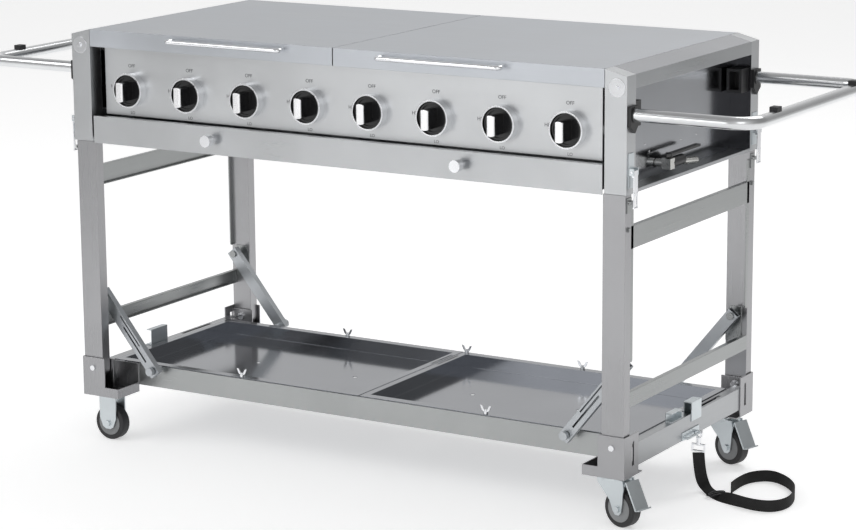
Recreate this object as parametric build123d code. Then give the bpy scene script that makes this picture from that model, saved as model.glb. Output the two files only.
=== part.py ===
"""Mobile gas flat top griddle on a folding stand, in millimetres.

X runs to the operator's right, Y away from the operator, Z up from the floor.
Everything is modelled about the middle of the head's depth; save() then shifts it back so
that the origin is under the middle of the overall box, knobs and pulls included.
"""

from build123d import *
import math
import os

# Overall sizes
HEAD_WIDTH = 1340.0
HEAD_DEPTH = 600.0
TOP = 920.0  # flat of the covers
SIDE_TOP = 908.0  # outer edge of the sloping shoulders
HEAD_BOTTOM = 677.0
PULL_PROUD = 30.0  # how far the drawer pulls stand in front of the head
BOLT_PROUD = 3.5  # pivot bolt heads stand out this far, front and rear
SHEET = 2.0

# Stand
PIVOT_HEIGHT = 170.0
PIVOT_INSET = 28.0  # pivot axis in from the outer face
LEG_WIDTH = 49.0
LEG_DEPTH = 25.0
LEG_FRONT_GAP = 3.5  # leg front face behind the bracket's front face
LEG_TOP = 675.8
BRACKET_TOP = 193.5
BRACKET_BOTTOM = 107.0
RAIL_TOP = 171.0
RAIL_BOTTOM = 123.0
RAIL_SETBACK = 78.0
SHELF_DEPTH = 28.0
BRACE_TOP_HEIGHT = 325.0
BRACE_FOOT_INSET = 155.0
BRACE_FOOT_HEIGHT = 168.0
BRACE_DEPTH = 15.0
BRACE_START = 45.0  # brace front face behind the head's front plane

# Head
POST_WIDTH = 48.0
POST_DEPTH = 37.0
COVER_FLANGE = 37.0
PANEL_SETBACK = 28.0
DRAWER_TOP = 733.0
KNOB_HEIGHT = 792.0
KNOB_PITCH = 152.0
KNOB_COUNT = 8
HANDLE_HEIGHT = 832.0
HANDLE_REACH = 251.0
HANDLE_TUBE_R = 12.7
HANDLE_ARM_INSET = 20.0  # arm axis in from the front and rear planes
SLEEVE_R = 14.9

# Casters
WHEEL_R = 38.5
WHEEL_WIDTH = 25.0
CASTER_INSET = 46.0
RIGID_INSET = 42.0
CASTER_TRAIL = 24.0
RUNNING = 0.05  # radial clearance of a turning fit
GAP = 0.5

HALF_W = HEAD_WIDTH / 2
FRONT = -HEAD_DEPTH / 2
INNER_W = HALF_W - POST_WIDTH
PIVOT_X = HALF_W - PIVOT_INSET
CENTRE_SHIFT = (PULL_PROUD - BOLT_PROUD) / 2
SIDES = {"left": -1, "right": 1}
ENDS = {"front": -1, "rear": 1}
INLET_Y = -84.0  # gas inlet through the right side panel
INLET_Z = 705.0
PIPE_R = 8.0
SWIVEL_YAW = {"front": -14.0, "rear": -16.0}  # where the right pair of casters trail at rest


def block(x, y, z):
    """A box from its (low, high) pair along each axis."""
    size = (x[1] - x[0], y[1] - y[0], z[1] - z[0])
    centre = ((x[0] + x[1]) / 2, (y[0] + y[1]) / 2, (z[0] + z[1]) / 2)
    return Pos(*centre) * Box(*size)


def rod(start, end, radius):
    """A cylinder from one point to another."""
    a = Vector(*start)
    b = Vector(*end)
    return Solid.make_cylinder(radius, (b - a).length, Plane(origin=a, z_dir=b - a))


def depth(d):
    """Y at a distance behind the head's front plane."""
    return FRONT + d


def prism_y(points, y0, y1):
    """An outline in (x, z) drawn out from y0 to y1."""
    face = make_face(Polyline(*[(x, y0, z) for x, z in points], close=True))
    return extrude(face, amount=y1 - y0, dir=(0, 1, 0))


def prism_x(points, x0, x1):
    """An outline in (y, z) drawn out from x0 to x1."""
    face = make_face(Polyline(*[(x0, y, z) for y, z in points], close=True))
    return extrude(face, amount=x1 - x0, dir=(1, 0, 0))


def to_corner(shape, side, end="front"):
    """Mirror a piece modelled at the front right corner to another corner."""
    if side == "left":
        shape = mirror(shape, about=Plane.YZ)
    if end == "rear":
        shape = mirror(shape, about=Plane.XZ)
    return shape


def corners():
    return [(side, end) for side in SIDES for end in ENDS]


def save(name, *shapes):
    """Write one sub-part: every solid of the given shapes, moved to the final origin."""
    solids = [s for shape in shapes for s in shape.solids()]
    moved = [s.moved(Location((0, CENTRE_SHIFT, 0))) for s in solids]
    export_step(Compound(moved), f"parts/{name}.step")


# ---------------------------------------------------------------- stand: base frame


def corner_bracket(side):
    """Folded bracket at the front right corner: it holds the leg's pivot and a caster."""
    foot_in = HALF_W - 94.0
    front_in = HALF_W - 59.0
    plate = 2.5
    z = (BRACKET_BOTTOM, BRACKET_TOP)
    lip_z = (BRACKET_BOTTOM, BRACKET_BOTTOM + 21.0)
    clevis_z = (BRACKET_BOTTOM, PIVOT_HEIGHT + 17.0)
    web = (depth(RAIL_SETBACK - plate), depth(RAIL_SETBACK))
    shape = block((front_in, HALF_W), (depth(0), depth(plate)), z)
    shape += block((HALF_W - plate, HALF_W), (depth(0), depth(62)), z)
    shape += block((foot_in, HALF_W), (depth(0), web[1]), (z[0], z[0] + plate))
    shape += block((foot_in, front_in), (depth(0), depth(plate)), lip_z)
    shape += block((foot_in, foot_in + plate), (depth(0), web[1]), lip_z)
    shape += block((front_in, HALF_W), (depth(31), depth(33.5)), clevis_z)
    shape += block((foot_in, HALF_W - 23), web, (z[0], RAIL_TOP))
    shape -= block((HALF_W - 5, HALF_W + 5), (depth(34), depth(43)), (129, 178))
    pin_from = (PIVOT_X, depth(-5), PIVOT_HEIGHT)
    pin_to = (PIVOT_X, depth(35), PIVOT_HEIGHT)
    shape -= rod(pin_from, pin_to, 5.0 + RUNNING)
    if side == "right":
        x, y = HALF_W - CASTER_INSET, depth(CASTER_INSET)
        shape -= rod((x, y, BRACKET_BOTTOM - 1), (x, y, BRACKET_BOTTOM + 4), 6.5)
    return shape


def pivot_bolt():
    """Leg pivot: a round-headed bolt through bracket and leg, with its nut behind."""
    head = rod((PIVOT_X, depth(-BOLT_PROUD), PIVOT_HEIGHT), (PIVOT_X, depth(0), PIVOT_HEIGHT), 6.0)
    shank = rod((PIVOT_X, depth(0), PIVOT_HEIGHT), (PIVOT_X, depth(33.5), PIVOT_HEIGHT), 5.0)
    nut = rod((PIVOT_X, depth(33.5), PIVOT_HEIGHT), (PIVOT_X, depth(37), PIVOT_HEIGHT), 8.0)
    return head + shank + nut


def side_rail():
    """Right side rail of the base, a channel open inwards."""
    x = (HALF_W - 22.5, HALF_W - 2.5)
    y = (depth(44), -depth(44))
    shape = block(x, y, (RAIL_BOTTOM, RAIL_TOP))
    shape -= block(
        (x[0] - 1, x[1] - SHEET),
        (y[0] - 1, y[1] + 1),
        (RAIL_BOTTOM + SHEET, RAIL_TOP - SHEET),
    )
    shape -= block((x[0] + 6, x[1] - 6), (52, 163), (RAIL_TOP - 5, RAIL_TOP + 5))
    return shape


def cross_rail():
    """Front rail of the base, a channel open to the rear."""
    x_end = HALF_W - 94.0
    y = (depth(RAIL_SETBACK), depth(RAIL_SETBACK + 20))
    shape = block((-x_end, x_end), y, (RAIL_BOTTOM, RAIL_TOP))
    hollow = block(
        (-x_end - 1, x_end + 1),
        (y[0] + SHEET, y[1] + 1),
        (RAIL_BOTTOM + SHEET, RAIL_TOP - SHEET),
    )
    return shape - hollow


def shelf_tray(side):
    """Shallow drip shelf with rolled rims that rest on the rails; it drains through two holes."""
    x = (1.5, HALF_W - 24.5)
    y = (depth(RAIL_SETBACK + 4), -depth(RAIL_SETBACK + 4))
    rim = 14.0
    floor_z = RAIL_TOP - SHELF_DEPTH
    rim_z = (RAIL_TOP + 0.2, RAIL_TOP + 0.2 + 1.5)
    pan_x = (x[0] + rim, x[1] - rim)
    pan_y = (y[0] + rim + 4, y[1] - rim - 4)
    shape = block(x, y, rim_z)
    shape += block(pan_x, pan_y, (floor_z, rim_z[1]))
    inner_x = (pan_x[0] + 1.5, pan_x[1] - 1.5)
    inner_y = (pan_y[0] + 1.5, pan_y[1] - 1.5)
    shape -= block(inner_x, inner_y, (floor_z + 1.5, rim_z[1] + 1))
    for share in (0.2, 0.6):
        hole_x = x[0] + 20 + share * (x[1] - x[0])
        shape -= rod((hole_x, 0, floor_z - 1), (hole_x, 0, floor_z + 3), 5.0)
    shape -= block((x[0] + 4, x[0] + 8), (90, 180), (rim_z[0] - 1, rim_z[1] + 1))
    return to_corner(shape, side)


def wing_nut(x, y):
    """Stud with a wing nut that clamps a shelf's rim to a rail."""
    z = RAIL_TOP + 1.7
    shape = rod((x, y, z), (x, y, z + 9), 2.5)
    shape += rod((x, y, z), (x, y, z + 6), 5.0)
    wing = [(x + 3, z + 2), (x + 9, z + 8), (x + 13, z + 18), (x + 8, z + 17), (x + 2, z + 6)]
    shape += prism_y(wing, y - 1, y + 1)
    shape += prism_y([(2 * x - px, pz) for px, pz in wing], y - 1, y + 1)
    return shape


def rest_hook(y, height):
    """Folded stop on top of the right side rail, between the given pair of depths."""
    x = (HALF_W - 20.0, HALF_W - 4.0)
    z = RAIL_TOP
    shape = block(x, y, (z, z + SHEET))
    shape += block((x[0], x[0] + SHEET), y, (z, z + height))
    shape += block((x[0], x[1] - 2), y, (z + height - SHEET, z + height))
    shape += block(x, (y[1] - SHEET, y[1]), (z, z + height * 0.7))
    return shape


def rail_box():
    """Folded box over the right side rail, with its outer wall flat on the rail."""
    x = (HALF_W - 20.0, HALF_W - 2.5)
    y = (3.0, 48.0)
    z = (RAIL_TOP, RAIL_TOP + 24)
    shape = block((x[0], x[1]), y, (z[1] - SHEET, z[1]))
    shape += block((x[1], x[1] + SHEET), y, (z[0] - 16, z[1]))
    shape += block((x[0], x[0] + SHEET), y, z)
    shape += block(x, (y[1] - SHEET, y[1]), z)
    return shape


STRAP_X = HALF_W + 8.0
STRAP_Y = 19.0
STAPLE_Z = 128.0


def strap_staple():
    """Bent staple on the right side rail that the pull strap hooks onto."""
    y = (STRAP_Y - 50.0, STRAP_Y + 12.0)
    face = HALF_W - 2.5
    wire = 2.5
    shape = block((face, face + SHEET), (y[0] - 8, y[1] + 8), (STAPLE_Z - 5, STAPLE_Z + 12))
    shape += rod((face, y[0], STAPLE_Z), (STRAP_X, y[0], STAPLE_Z), wire)
    shape += rod((face, y[1], STAPLE_Z), (STRAP_X, y[1], STAPLE_Z), wire)
    shape += rod((STRAP_X, y[0] - wire, STAPLE_Z), (STRAP_X, y[1] + wire, STAPLE_Z), wire)
    return shape


PLATE_Z = (BRACKET_BOTTOM - 3.0, BRACKET_BOTTOM)
CUP_Z = (BRACKET_BOTTOM - 7.0, BRACKET_BOTTOM - 3.0)


def caster_plate():
    """Square mounting plate with the swivel's upper race under it."""
    shape = block((-32, 32), (-32, 32), PLATE_Z)
    shape += rod((0, 0, CUP_Z[0]), (0, 0, CUP_Z[1]), 22.0)
    shape -= rod((0, 0, CUP_Z[0] - 1), (0, 0, PLATE_Z[1] + 1), 5.0 + RUNNING)
    return shape


def swivel_fork():
    """Pressed fork: round crown, two cheeks down to the axle, kingpin and axle bolt."""
    crown = (CUP_Z[0] - GAP - 5.0, CUP_Z[0] - GAP)
    cheek_in = WHEEL_WIDTH / 2 + 2.5
    cheek = [
        (-30, crown[1]),
        (38, crown[1]),
        (40, 84),
        (CASTER_TRAIL + 13, WHEEL_R + 14),
        (CASTER_TRAIL + 10, WHEEL_R - 6),
        (CASTER_TRAIL + 4, WHEEL_R - 12),
        (CASTER_TRAIL - 5, WHEEL_R - 12),
        (CASTER_TRAIL - 11, WHEEL_R - 5),
        (CASTER_TRAIL - 20, WHEEL_R + 16),
        (-28, 86),
    ]
    shape = rod((0, 0, crown[0]), (0, 0, crown[1]), 25.0)
    shape += block((-30, 36), (-cheek_in - 3, cheek_in + 3), crown)
    for y0 in (-cheek_in - 3, cheek_in):
        shape += prism_y(cheek, y0, y0 + 3)
    shape += rod((0, 0, crown[0]), (0, 0, PLATE_Z[1] - 0.5), 5.0)
    return shape + axle_bolt(CASTER_TRAIL, cheek_in)


def rigid_fork():
    """Fixed fork of the left pair: a square plate and two straight cheeks round the wheel."""
    cheek_in = WHEEL_WIDTH / 2 + 2.5
    cheek = [
        (-22, PLATE_Z[0]),
        (22, PLATE_Z[0]),
        (22, WHEEL_R + 12),
        (14, WHEEL_R - 8),
        (6, WHEEL_R - 13),
        (-6, WHEEL_R - 13),
        (-14, WHEEL_R - 8),
        (-22, WHEEL_R + 12),
    ]
    shape = block((-32, 32), (-32, 32), PLATE_Z)
    shape += block((-22, 22), (-cheek_in - 3, cheek_in + 3), (PLATE_Z[0] - 3, PLATE_Z[0]))
    for y0 in (-cheek_in - 3, cheek_in):
        shape += prism_y(cheek, y0, y0 + 3)
    return shape + axle_bolt(0, cheek_in)


def axle_bolt(x, cheek_in):
    """Wheel axle through both cheeks, with its head and nut outside them."""
    reach = cheek_in + 7
    shape = rod((x, -reach, WHEEL_R), (x, reach, WHEEL_R), 4.0)
    shape += rod((x, -reach, WHEEL_R), (x, -cheek_in - 3, WHEEL_R), 6.5)
    shape += rod((x, cheek_in + 3, WHEEL_R), (x, reach, WHEEL_R), 6.5)
    return shape


def caster_wheel(trail):
    """Wheel with a moulded tyre: hub disc, tyre ring with rounded shoulders, bore."""
    half = WHEEL_WIDTH / 2
    axle = Plane(origin=(trail, -half, WHEEL_R), z_dir=(0, 1, 0))
    tyre = Solid.make_cylinder(WHEEL_R, WHEEL_WIDTH, axle)
    tyre = fillet(tyre.edges(), 4.0)
    hub = Solid.make_cylinder(WHEEL_R - 11, WHEEL_WIDTH + 1, axle.offset(-0.5))
    boss = Solid.make_cylinder(9.0, WHEEL_WIDTH + 4, axle.offset(-2.0))
    bore = Solid.make_cylinder(4.0 + RUNNING, WHEEL_WIDTH + 8, axle.offset(-4.0))
    ring = tyre - hub
    hub = hub + boss - bore
    return [ring, hub]


BRAKE_PIVOT = (41.0, 92.0)


def brake_pedal():
    """Foot lever of a braked caster: a plate with a pad, hinged at the fork's back."""
    half = 19.0
    foot = (72.0, 44.0)
    top = (45.0, 98.0)
    plate = [top, (top[0] + 3, top[1] + 1), (foot[0] + 3, foot[1] + 1), foot]
    toe = [foot, (foot[0] + 3, foot[1] + 1), (foot[0] + 9, foot[1] + 5), (foot[0] + 10, foot[1] + 2)]
    shape = prism_y(plate, -half, half)
    shape += prism_y(toe, -half, half)
    x, z = BRAKE_PIVOT
    for y0 in (-9.0, 6.0):
        ear = [(x - 4, z - 4), (x - 4, z + 3), (top[0] + 2, top[1]), (top[0] + 7, top[1] - 10)]
        shape += prism_y(ear, y0, y0 + 3)
    shape -= rod((x, -12, z), (x, 12, z), 2.0 + RUNNING)
    return shape


def brake_mount():
    """Lug at the back of a braked fork that the pedal hinges on."""
    x, z = BRAKE_PIVOT
    lug = block((24, x + 3), (-5.5, 5.5), (z - 2.5, z + 2.5))
    pin = rod((x, -10, z), (x, 10, z), 2.0)
    return lug + pin


def place_caster(shape, side, end):
    """Move a caster's piece from the origin to its corner; the right pair swivel."""
    y = ENDS[end] * -depth(CASTER_INSET)
    if side == "left":
        return Pos(RIGID_INSET - HALF_W, y, 0) * shape
    return Pos(HALF_W - CASTER_INSET, y, 0) * Rot(0, 0, SWIVEL_YAW[end]) * shape


# ---------------------------------------------------------------- stand: folding leg frames


def leg():
    """Front right leg, a rectangular tube whose foot is rounded about the pivot."""
    half = LEG_WIDTH / 2
    y = (depth(LEG_FRONT_GAP), depth(LEG_FRONT_GAP + LEG_DEPTH))
    outer = block((PIVOT_X - half, PIVOT_X + half), y, (PIVOT_HEIGHT, LEG_TOP))
    outer += rod((PIVOT_X, y[0], PIVOT_HEIGHT), (PIVOT_X, y[1], PIVOT_HEIGHT), half)
    inner_y = (y[0] + SHEET, y[1] - SHEET)
    inner_x = (PIVOT_X - half + SHEET, PIVOT_X + half - SHEET)
    outer -= block(inner_x, inner_y, (PIVOT_HEIGHT, LEG_TOP - SHEET))
    bore = rod(
        (PIVOT_X, y[0] - 1, PIVOT_HEIGHT),
        (PIVOT_X, y[1] + 1, PIVOT_HEIGHT),
        5.0 + RUNNING,
    )
    return outer - bore


def keeper():
    """Hooked plate on a leg's outer face that the head's draw latch pulls on."""
    face = PIVOT_X + LEG_WIDTH / 2
    y = (depth(8), depth(26))
    shape = block((face, face + 2), y, (640, 670))
    shape += block((face, face + 8), y, (662, 664))
    shape += block((face + 6, face + 8), y, (657, 664))
    shape += block((face, face + 4), (depth(13), depth(21)), (603, 611))
    return shape


def stiffener():
    """Flat bar on the outer face behind the leg's edge, with a rounded lower tip."""
    face = PIVOT_X + LEG_WIDTH / 2
    y = (depth(LEG_FRONT_GAP + LEG_DEPTH), depth(38.5))
    tip_y = (y[0] + y[1]) / 2
    bar = block((face - 3, face), y, (345, 660))
    return bar + rod((face - 3, tip_y, 345), (face, tip_y, 345), (y[1] - y[0]) / 2)


def gusset():
    """Plate on the back of the leg with the pin that the brace turns on."""
    y0 = depth(LEG_FRONT_GAP + LEG_DEPTH)
    outline = [
        (PIVOT_X + 12, BRACE_TOP_HEIGHT + 16),
        (PIVOT_X - 14, BRACE_TOP_HEIGHT + 16),
        (PIVOT_X - 24, BRACE_TOP_HEIGHT),
        (PIVOT_X - 24, BRACE_TOP_HEIGHT - 60),
        (PIVOT_X + 12, BRACE_TOP_HEIGHT - 60),
    ]
    shape = prism_y(outline, y0, y0 + 2.5)
    pin = rod(
        (PIVOT_X, y0 + 2.5, BRACE_TOP_HEIGHT),
        (PIVOT_X, depth(BRACE_START + BRACE_DEPTH + 3), BRACE_TOP_HEIGHT),
        4.0,
    )
    head = rod(
        (PIVOT_X, depth(BRACE_START + BRACE_DEPTH + 0.6), BRACE_TOP_HEIGHT),
        (PIVOT_X, depth(BRACE_START + BRACE_DEPTH + 3.6), BRACE_TOP_HEIGHT),
        8.0,
    )
    return shape + pin + head


def leg_cross_rails():
    """Upper and lower tie rails of the right leg frame, shallow channels open inwards."""
    face = PIVOT_X + LEG_WIDTH / 2
    y_end = -depth(LEG_FRONT_GAP + LEG_DEPTH)
    rails = []
    for low, high in ((567.0, 612.0), (249.0, 280.0)):
        rail = block((face - 10, face), (-y_end, y_end), (low, high))
        rail -= block(
            (face - 11, face - SHEET),
            (-y_end + SHEET, y_end - SHEET),
            (low + SHEET, high - SHEET),
        )
        rails.append(rail)
    return rails


def brace_vector():
    """From the brace's pin on the leg down to its foot on the base rail."""
    foot_x = HALF_W - BRACE_FOOT_INSET
    return Vector(foot_x - PIVOT_X, 0, BRACE_FOOT_HEIGHT - BRACE_TOP_HEIGHT)


def brace():
    """Folded strut with two slots; its foot carries a spring bolt for the rail."""
    along = brace_vector()
    length = along.length
    y = (0.0, BRACE_DEPTH)
    bar = block((-10, length + 12), y, (-13, 13))
    bar -= block((-11, length + 4), (y[0] - 1, y[1] - SHEET), (-11, 11))
    bar += block((-10, length + 12), (y[0], y[0] + SHEET), (-13, 13))
    bar -= block((length * 0.42, length * 0.88), (y[0] - 1, y[0] + SHEET + 1), (-1, 3))
    bar -= block((length * 0.3, length * 0.7), (y[0] - 1, y[0] + SHEET + 1), (-9, -6))
    bar -= rod((0, -1, 0), (0, BRACE_DEPTH + 1, 0), 4.0 + RUNNING)
    reach = RAIL_SETBACK - BRACE_START - GAP
    bolt = rod((length, -8, 0), (length, reach, 0), 5.0)
    bolt += rod((length, -12, 0), (length, -2, 0), 9.0)
    bar -= rod((length, -1, 0), (length, BRACE_DEPTH + 1, 0), 5.0)
    angle = math.degrees(math.atan2(along.Z, along.X))
    origin = Pos(PIVOT_X, depth(BRACE_START), BRACE_TOP_HEIGHT)
    return [origin * Rot(0, -angle, 0) * piece for piece in (bar, bolt)]


# ---------------------------------------------------------------- head: structure


def corner_post():
    """Front right post: a closed tube whose top slopes down to the outer side."""
    y = (depth(0), depth(POST_DEPTH))
    outline = [(INNER_W, HEAD_BOTTOM), (HALF_W, HEAD_BOTTOM), (HALF_W, SIDE_TOP), (INNER_W, TOP)]
    shape = prism_y(outline, *y)
    inner = [
        (INNER_W + SHEET, HEAD_BOTTOM + SHEET),
        (HALF_W - SHEET, HEAD_BOTTOM + SHEET),
        (HALF_W - SHEET, SIDE_TOP - SHEET),
        (INNER_W + SHEET, TOP - SHEET - 1),
    ]
    shape -= prism_y(inner, y[0] + SHEET, y[1] - SHEET)
    arm_y = depth(HANDLE_ARM_INSET)
    shape -= rod(
        (HALF_W - 6, arm_y, HANDLE_HEIGHT),
        (HALF_W + 6, arm_y, HANDLE_HEIGHT),
        SLEEVE_R + RUNNING,
    )
    return shape


def side_shell():
    """Right side of the head: sloping shoulder, recessed panel and a shelf at the bottom."""
    y = (depth(POST_DEPTH), -depth(POST_DEPTH))
    web = (INNER_W, INNER_W + SHEET)
    shape = block(web, y, (HEAD_BOTTOM, TOP - SHEET))
    shape += prism_y(
        [
            (INNER_W, TOP),
            (HALF_W, SIDE_TOP),
            (HALF_W, SIDE_TOP - SHEET),
            (INNER_W, TOP - SHEET),
        ],
        *y,
    )
    shape += block((HALF_W - SHEET, HALF_W), y, (SIDE_TOP - 27, SIDE_TOP - SHEET + 1))
    shape += block((INNER_W, HALF_W), y, (HEAD_BOTTOM, HEAD_BOTTOM + SHEET))
    shape += block((HALF_W - SHEET, HALF_W), y, (HEAD_BOTTOM, HEAD_BOTTOM + 7))
    shape -= rod((INNER_W - 5, INLET_Y, INLET_Z), (INNER_W + 5, INLET_Y, INLET_Z), 10.0)
    return shape


def drawer_runner():
    """Angle on the inside of the right side panel that the drip drawer slides on."""
    y = (depth(POST_DEPTH + 2), -depth(POST_DEPTH + 2))
    shape = block((INNER_W - 22, INNER_W), y, (HEAD_BOTTOM, HEAD_BOTTOM + SHEET))
    shape += block((INNER_W - SHEET, INNER_W), y, (HEAD_BOTTOM, HEAD_BOTTOM + 14))
    return shape


def rear_panel():
    """Back of the head, a flat pan between the rear posts with a louvred vent row."""
    y = (-depth(8), -depth(8) + SHEET)
    z = (HEAD_BOTTOM, TOP - COVER_FLANGE - 4)
    shape = block((-INNER_W, INNER_W), y, z)
    shape += block((-INNER_W, INNER_W), (y[0] - 18, y[0]), (z[0], z[0] + SHEET))
    shape += block((-INNER_W, INNER_W), (y[0] - 12, y[0]), (z[1] - SHEET, z[1]))
    vents = 12
    pitch = 2 * (INNER_W - 60) / (vents - 1)
    for i in range(vents):
        x = -INNER_W + 60 + i * pitch
        shape -= block((x - 35, x + 35), (y[0] - 1, y[1] + 1), (740, 750))
    return shape


def control_panel():
    """Recessed fascia with a hole for each valve stem, folded back at top, foot and ends."""
    x_end = INNER_W - 19.0
    y = (depth(PANEL_SETBACK), depth(PANEL_SETBACK) + 1.5)
    z = (DRAWER_TOP + 2, TOP - COVER_FLANGE - 4)
    shape = block((-x_end, x_end), y, z)
    shape += block((-x_end, x_end), (y[0], y[0] + 22), (z[1] - 1.5, z[1]))
    shape += block((-x_end, x_end), (y[0], y[0] + 22), (z[0], z[0] + 1.5))
    for x in (-x_end, x_end - 1.5):
        shape += block((x, x + 1.5), (y[0], y[0] + 22), z)
    for x in knob_places():
        shape -= rod((x, y[0] - 1, KNOB_HEIGHT), (x, y[1] + 1, KNOB_HEIGHT), 7.0)
    return shape


def heat_shield():
    """Pan above the drip drawer that keeps the burner heat off it."""
    y = (depth(POST_DEPTH + 14), -depth(14))
    z = DRAWER_TOP + 8
    shape = block((-INNER_W, INNER_W), y, (z, z + 1.5))
    shape += block((-INNER_W, INNER_W), (y[1] - 1.5, y[1]), (z, KNOB_HEIGHT + 24))
    shape -= rod((INNER_W - 12, INLET_Y, z - 1), (INNER_W - 12, INLET_Y, z + 3), PIPE_R + 1)
    return shape


def knob_places():
    first = -KNOB_PITCH * (KNOB_COUNT - 1) / 2
    return [first + KNOB_PITCH * i for i in range(KNOB_COUNT)]


BEZEL_R = 37.5
BEZEL_DEPTH = 20.0


def knob_bezel(x):
    """Deep chromed ring around a knob, screwed to the fascia."""
    y = depth(PANEL_SETBACK)
    outer = rod((x, y - BEZEL_DEPTH, KNOB_HEIGHT), (x, y, KNOB_HEIGHT), BEZEL_R)
    inner = rod((x, y - BEZEL_DEPTH - 1, KNOB_HEIGHT), (x, y + 1, KNOB_HEIGHT), BEZEL_R - 3.5)
    seat = rod((x, y - 3, KNOB_HEIGHT), (x, y, KNOB_HEIGHT), BEZEL_R - 3)
    hole = rod((x, y - 4, KNOB_HEIGHT), (x, y + 1, KNOB_HEIGHT), 8.0)
    return outer - inner + (seat - hole)


KNOB_FRONT = 48.0  # grip front in front of the fascia
GRIP_WIDTH = 18.0
GRIP_REACH = 21.0


def knob(x):
    """Knob: dished disc, a thick grip bar across it, and the stem into the valve."""
    y = depth(PANEL_SETBACK)
    disc = rod((x, y - 16, KNOB_HEIGHT), (x, y - 5, KNOB_HEIGHT), BEZEL_R - 5)
    dish = rod((x, y - 17, KNOB_HEIGHT), (x, y - 12, KNOB_HEIGHT), BEZEL_R - 9)
    grip = block(
        (x - GRIP_WIDTH / 2, x + GRIP_WIDTH / 2),
        (y - KNOB_FRONT, y - 10),
        (KNOB_HEIGHT - BEZEL_R, KNOB_HEIGHT + BEZEL_R),
    )
    grip = grip & rod((x, y - 60, KNOB_HEIGHT), (x, y, KNOB_HEIGHT), GRIP_REACH)
    grip = fillet(grip.edges().filter_by(Axis.Z), 3.0)
    stem = rod((x, y - 6, KNOB_HEIGHT), (x, y + 12, KNOB_HEIGHT), 4.0)
    return disc - dish + grip + stem


MANIFOLD_Y = PANEL_SETBACK + 34.0
INLET_X = HALF_W - 18.0
COCK_Y = INLET_Y + 4.0  # axis of the gas cock's lever
BURNER_START = 96.0
BURNER_R = 19.0


def gas_train():
    """Manifold pipe with a valve per knob, and the inlet fittings in the right side recess."""
    y = depth(MANIFOLD_Y)
    x_drop = INNER_W - 12
    pipe = rod((knob_places()[0] - 40, y, KNOB_HEIGHT), (x_drop, y, KNOB_HEIGHT), 11.0)
    pipe += rod((x_drop, y - 11, KNOB_HEIGHT), (x_drop, INLET_Y, KNOB_HEIGHT), PIPE_R)
    pipe += rod((x_drop, INLET_Y, KNOB_HEIGHT + PIPE_R), (x_drop, INLET_Y, INLET_Z), PIPE_R)
    pipe += rod((x_drop - PIPE_R, INLET_Y, INLET_Z), (INLET_X + 10, INLET_Y, INLET_Z), PIPE_R)
    for x in knob_places():
        body_y = (depth(PANEL_SETBACK + 6), y - 8)
        body = block((x - 12, x + 12), body_y, (KNOB_HEIGHT - 14, KNOB_HEIGHT + 14))
        bore_end = (x, depth(PANEL_SETBACK + 14), KNOB_HEIGHT)
        body -= rod((x, depth(PANEL_SETBACK), KNOB_HEIGHT), bore_end, 4.0 + RUNNING)
        pipe += body
        pipe += rod((x, y, KNOB_HEIGHT), (x, depth(BURNER_START), KNOB_HEIGHT), 6.0)
    elbow = block((INLET_X - 10, INLET_X + 10), (INLET_Y - 10, INLET_Y + 9), (694, 716))
    cock = rod((INLET_X, INLET_Y + 9, INLET_Z), (INLET_X, -24, INLET_Z), 11.0)
    coupling = rod((INLET_X, -24, INLET_Z - 4), (INLET_X, 40, INLET_Z - 12), 7.5)
    return [pipe + elbow, cock, coupling]


def gas_cock_lever():
    """Black lever of the main gas cock in the side recess, with the spindle it turns on."""
    hub = rod((INLET_X, COCK_Y, 716.4), (INLET_X, COCK_Y, 726), 7.0)
    bar = block((INLET_X - 6, INLET_X + 6), (COCK_Y - 24, COCK_Y + 131), (720, 725))
    return hub + bar


def burner(x):
    """Straight tube burner, closed at both ends, in line with its valve."""
    front = (x, depth(BURNER_START), KNOB_HEIGHT)
    rear = (x, -depth(15.5), KNOB_HEIGHT)
    tube = rod(front, rear, BURNER_R)
    cavity_from = (x, front[1] + SHEET, KNOB_HEIGHT)
    cavity_to = (x, rear[1] - SHEET, KNOB_HEIGHT)
    return tube - rod(cavity_from, cavity_to, BURNER_R - SHEET)


def griddle_plate(side):
    """Cooking plate with splash walls all round and a grease slot at the front."""
    x = (3.0, INNER_W - 3)
    y = (depth(52), -depth(22))
    z = (868.0, TOP - 5)
    shape = block(x, y, z)
    shape -= block((x[0] + 3, x[1] - 3), (y[0] + 3, y[1] - 3), (z[0] + 7, z[1] + 1))
    shape -= block((x[0] + 40, x[1] - 40), (y[0] + 8, y[0] + 26), (z[0] - 1, z[0] + 8))
    return to_corner(shape, side)


def socket_outline():
    z = HANDLE_HEIGHT
    y = depth(HANDLE_ARM_INSET)
    return [(y - 17, z + 17), (y + 17, z + 17), (y + 17, z - 20), (y + 2, z - 36), (y - 17, z - 22)]


def handle_socket():
    """Black cast socket for one arm of the side handle: pointed plate with a deep sleeve."""
    y = depth(HANDLE_ARM_INSET)
    shape = prism_x(socket_outline(), HALF_W, HALF_W + 7)
    z = HANDLE_HEIGHT
    shape += rod((HALF_W - 40, y, z), (HALF_W + 9, y, z), SLEEVE_R)
    shape -= rod((HALF_W - 41, y, z), (HALF_W + 10, y, z), HANDLE_TUBE_R + 0.08)
    back = depth(POST_DEPTH)
    housing = block((HALF_W - 40, HALF_W - 6), (back, back + 34), (z - 28, z + 22))
    housing -= block((HALF_W - 34, HALF_W - 12), (back + 6, back + 35), (z - 22, z + 16))
    return [shape, housing]


def post_boss():
    """Round boss on a front post with its dome-headed screw."""
    x = HALF_W - 22
    z = 885.0
    disc = rod((x, depth(-0.8), z), (x, depth(0), z), 18.0)
    screw = rod((x, depth(-4), z), (x, depth(-0.8), z), 4.5)
    return disc + screw


LATCH_PIVOT_Z = 722.0
LATCH_PIVOT_X = HALF_W + 8.0


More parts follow.
